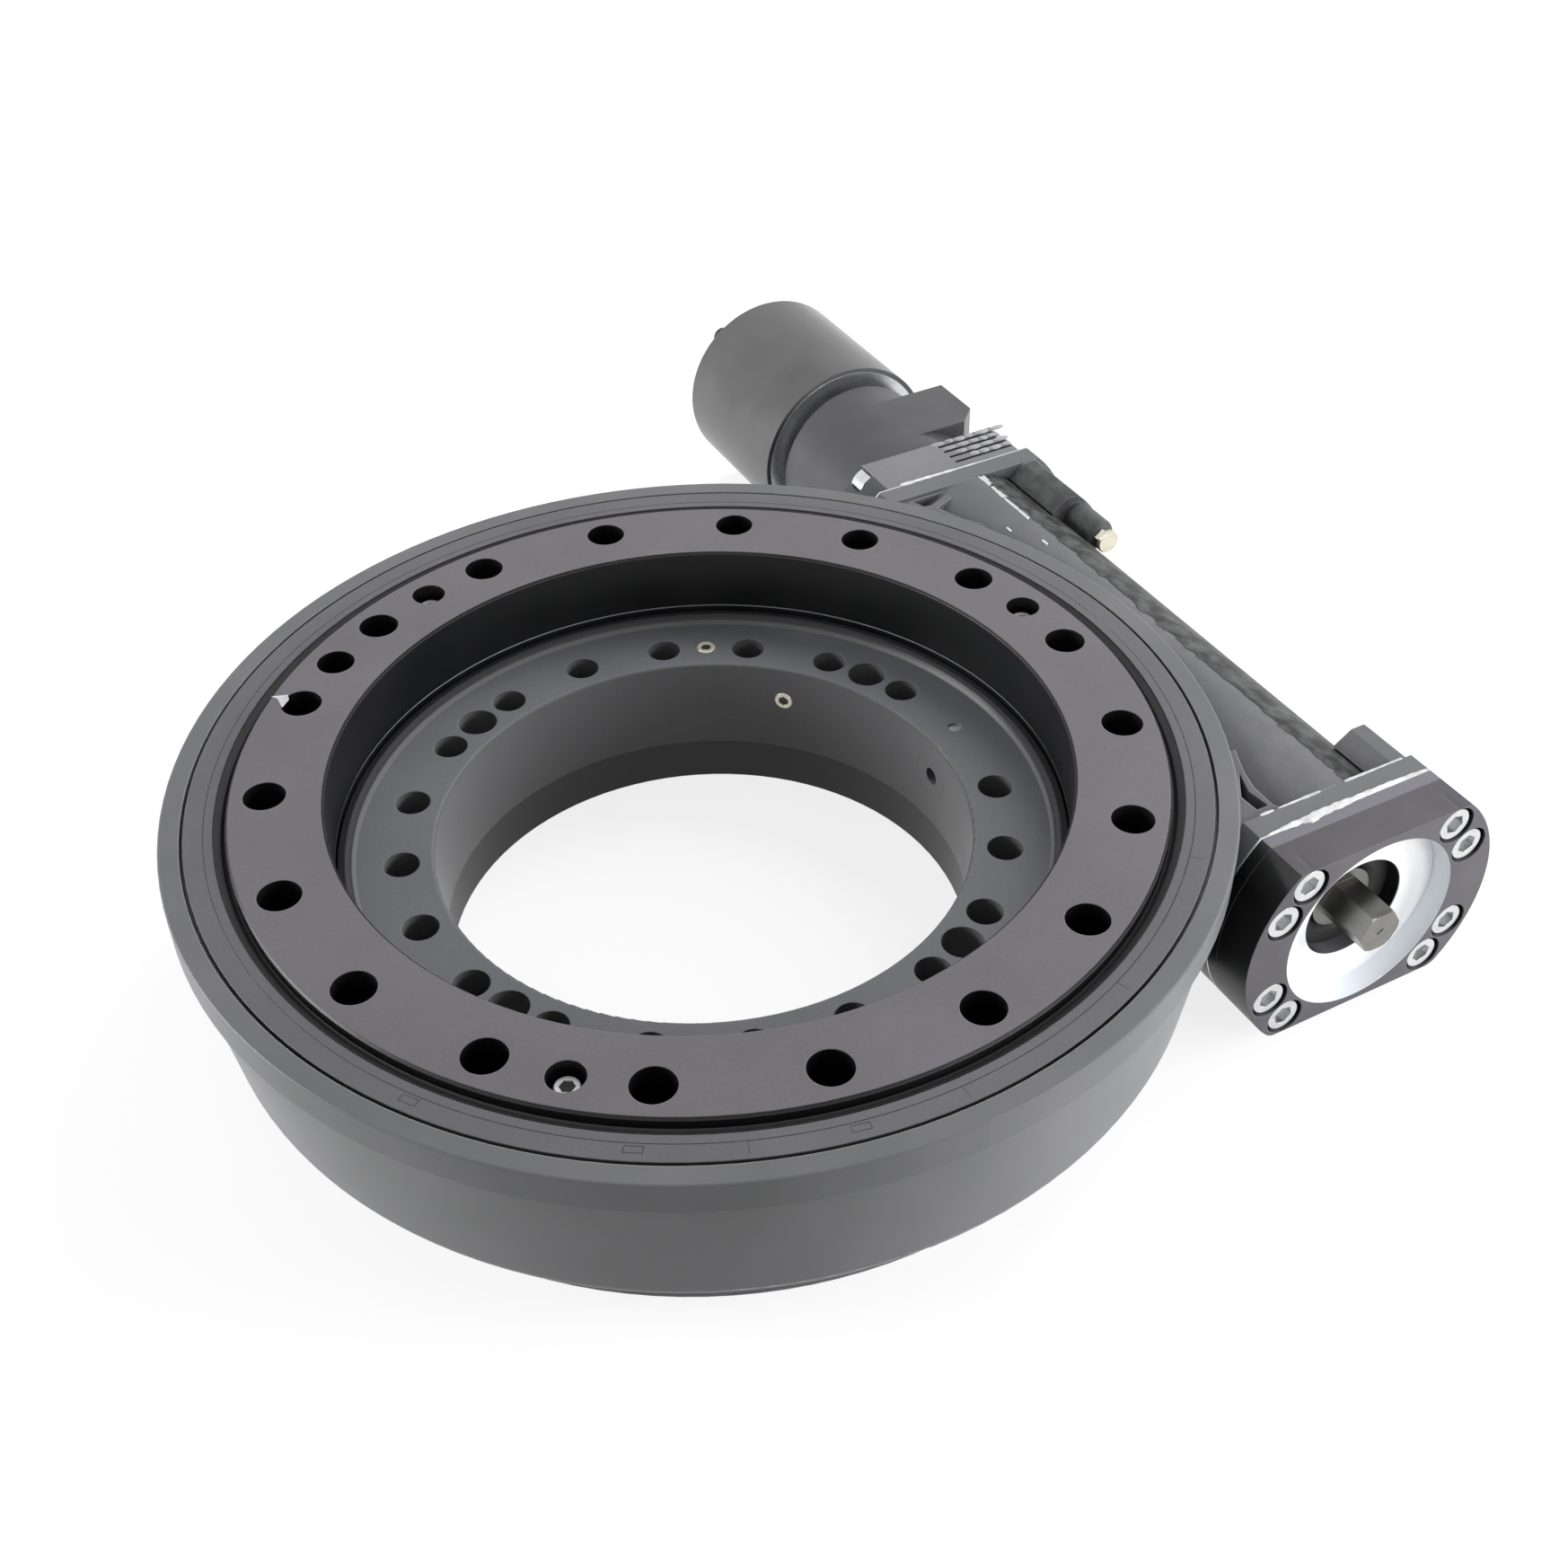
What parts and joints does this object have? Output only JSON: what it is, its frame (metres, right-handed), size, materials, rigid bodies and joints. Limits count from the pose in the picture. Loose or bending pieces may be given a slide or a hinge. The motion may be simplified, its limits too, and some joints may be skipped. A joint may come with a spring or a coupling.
{
  "type": "solar slew drive",
  "caption": "Worm gear slew drive for a solar tracker: bolted slewing ring in a cast housing, with a side worm tunnel, planetary gearbox and DC motor.",
  "frame": {"origin": "on the slewing axis, at the base face of the housing", "axes": "+Z along the slewing axis, towards the bolted face of the slew ring; +X along the worm, from the motor to the hexagon end; +Y from the slewing axis to the worm"},
  "size_m": [0.5928, 0.5126, 0.106],
  "materials": {
    "aluminium": "machined aluminium",
    "bare_steel": "machined steel",
    "bearing_steel": "ground bearing steel",
    "brass": "brass",
    "carbon": "carbon",
    "cast_housing": "satin grey paint on cast iron",
    "copper": "copper",
    "ferrite": "sintered ferrite",
    "nylon": "natural nylon",
    "painted_steel": "satin grey paint",
    "phenolic": "moulded phenolic",
    "ring_steel": "satin grey paint on machined steel",
    "seal_rubber": "matt nitrile rubber",
    "zinc_plated": "zinc plated steel"
  },
  "bodies": {
    "housing": {"worm_housing": "cast_housing", "top_cover_ring": "ring_steel", "top_seal": "seal_rubber", "inner_ring": "ring_steel", "inner_seal": "seal_rubber", "lower_seal": "seal_rubber", "inner_ring_screws": "zinc_plated", "fill_plug": "bare_steel", "fill_plug_pin": "bare_steel", "grease_nipples": "brass", "tunnel_nipple": "brass", "end_cap": "painted_steel", "cap_spacer": "painted_steel", "cap_shim": "aluminium", "cap_screws": "zinc_plated", "hex_end_seal": "seal_rubber", "adaptor_shim": "aluminium", "motor_adaptor": "painted_steel", "adaptor_screws": "zinc_plated", "input_seal": "seal_rubber", "gearbox_screws": "zinc_plated", "gearbox_housing": "painted_steel", "ring_gear": "bare_steel", "gearbox_bearing_outer": "bearing_steel", "motor_can": "painted_steel", "end_shield": "aluminium", "motor_screws": "zinc_plated", "motor_magnets": "ferrite", "brush_holder": "phenolic", "motor_brushes": "carbon", "motor_bearing_outers": "bearing_steel", "cable_grommet": "seal_rubber", "bearing_cup_hex_end": "bearing_steel", "bearing_cup_motor_end": "bearing_steel"},
    "ring": {"slew_ring": "ring_steel", "jack_plugs": "zinc_plated"},
    "ball_row": {"race_balls": "bearing_steel", "ball_spacers": "nylon"},
    "worm": {"worm_shaft": "bare_steel", "drive_key": "bare_steel", "bearing_cone_hex_end": "bearing_steel", "bearing_cone_motor_end": "bearing_steel", "planet_carrier": "bare_steel", "planet_pins": "bearing_steel", "gearbox_bearing_inner": "bearing_steel"},
    "roller_cages": {"bearing_rollers_hex_end": "bearing_steel", "bearing_rollers_motor_end": "bearing_steel", "bearing_cage_hex_end": "bearing_steel", "bearing_cage_motor_end": "bearing_steel"},
    "planet_1": {"planet_gear_1": "bare_steel"},
    "planet_2": {"planet_gear_2": "bare_steel"},
    "planet_3": {"planet_gear_3": "bare_steel"},
    "rotor": {"sun_gear": "bare_steel", "armature": "bare_steel", "commutator": "copper", "motor_bearing_inners": "bearing_steel"},
    "gearbox_ball_row": {"gearbox_bearing_balls": "bearing_steel"},
    "motor_ball_rows": {"motor_bearing_balls": "bearing_steel"}
  },
  "joints": [
    {"name": "ring_slew", "type": "hinge", "parent": "housing", "child": "ring", "pos_m": [0, 0, 0.0485], "axis": [0, 0, 1], "continuous": true},
    {"name": "ball_row_roll", "type": "hinge", "parent": "housing", "child": "ball_row", "pos_m": [0, 0, 0.0485], "axis": [0, 0, 1], "continuous": true},
    {"name": "worm_turn", "type": "hinge", "parent": "housing", "child": "worm", "pos_m": [0, 0.2225, 0.0545], "axis": [1, 0, 0], "continuous": true},
    {"name": "roller_cage_turn", "type": "hinge", "parent": "housing", "child": "roller_cages", "pos_m": [0, 0.2225, 0.0545], "axis": [1, 0, 0], "continuous": true},
    {"name": "rotor_turn", "type": "hinge", "parent": "housing", "child": "rotor", "pos_m": [-0.3, 0.2225, 0.0545], "axis": [1, 0, 0], "continuous": true},
    {"name": "gearbox_balls_turn", "type": "hinge", "parent": "housing", "child": "gearbox_ball_row", "pos_m": [-0.19, 0.2225, 0.0545], "axis": [1, 0, 0], "continuous": true},
    {"name": "motor_balls_turn", "type": "hinge", "parent": "housing", "child": "motor_ball_rows", "pos_m": [-0.3, 0.2225, 0.0545], "axis": [1, 0, 0], "continuous": true},
    {"name": "planet_1_turn", "type": "hinge", "parent": "worm", "child": "planet_1", "pos_m": [-0.236, 0.2225, 0.07925], "axis": [1, 0, 0], "continuous": true},
    {"name": "planet_2_turn", "type": "hinge", "parent": "worm", "child": "planet_2", "pos_m": [-0.236, 0.20107, 0.04213], "axis": [1, 0, 0], "continuous": true},
    {"name": "planet_3_turn", "type": "hinge", "parent": "worm", "child": "planet_3", "pos_m": [-0.236, 0.24393, 0.04213], "axis": [1, 0, 0], "continuous": true}
  ],
  "couplings": [
    {"joint": "worm_turn", "follows": "ring_slew", "ratio": 85},
    {"joint": "ball_row_roll", "follows": "ring_slew", "ratio": 0.5224},
    {"joint": "roller_cage_turn", "follows": "ring_slew", "ratio": 35.53},
    {"joint": "rotor_turn", "follows": "ring_slew", "ratio": 311.67},
    {"joint": "gearbox_balls_turn", "follows": "ring_slew", "ratio": 34},
    {"joint": "motor_balls_turn", "follows": "ring_slew", "ratio": 124.67},
    {"joint": "planet_1_turn", "follows": "ring_slew", "ratio": -272},
    {"joint": "planet_2_turn", "follows": "ring_slew", "ratio": -272},
    {"joint": "planet_3_turn", "follows": "ring_slew", "ratio": -272}
  ]
}
